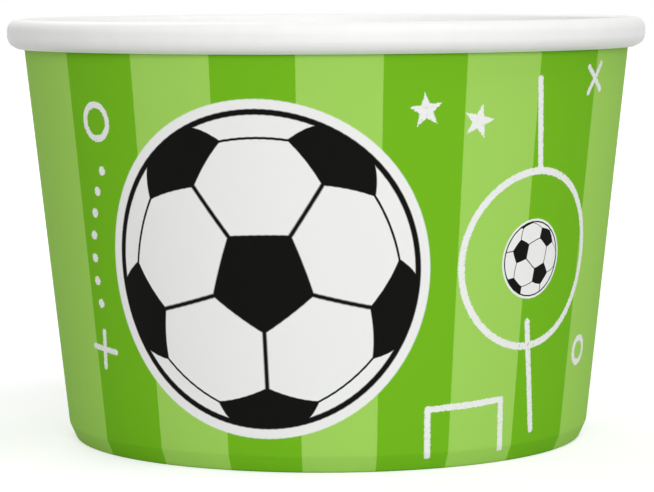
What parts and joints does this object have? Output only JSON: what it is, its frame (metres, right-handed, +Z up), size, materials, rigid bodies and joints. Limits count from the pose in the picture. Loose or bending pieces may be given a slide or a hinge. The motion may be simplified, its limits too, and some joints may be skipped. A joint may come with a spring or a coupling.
{
  "type": "paper dessert cup",
  "caption": "Round paperboard dessert cup: tapered printed wall with a lap seam, rolled rim, folded foot and a recessed base disc.",
  "frame": {"origin": "middle of the foot, on the surface that the cup stands on", "axes": "+Z up along the cup's axis to the mouth, -Y towards the front of the print, +X to the right seen from the front"},
  "size_m": [0.095, 0.095, 0.0625],
  "materials": {
    "printed_board": "satin",
    "base_board": "satin"
  },
  "bodies": {
    "root": {"side_wall": "printed_board", "base_disc": "base_board"}
  },
  "joints": []
}
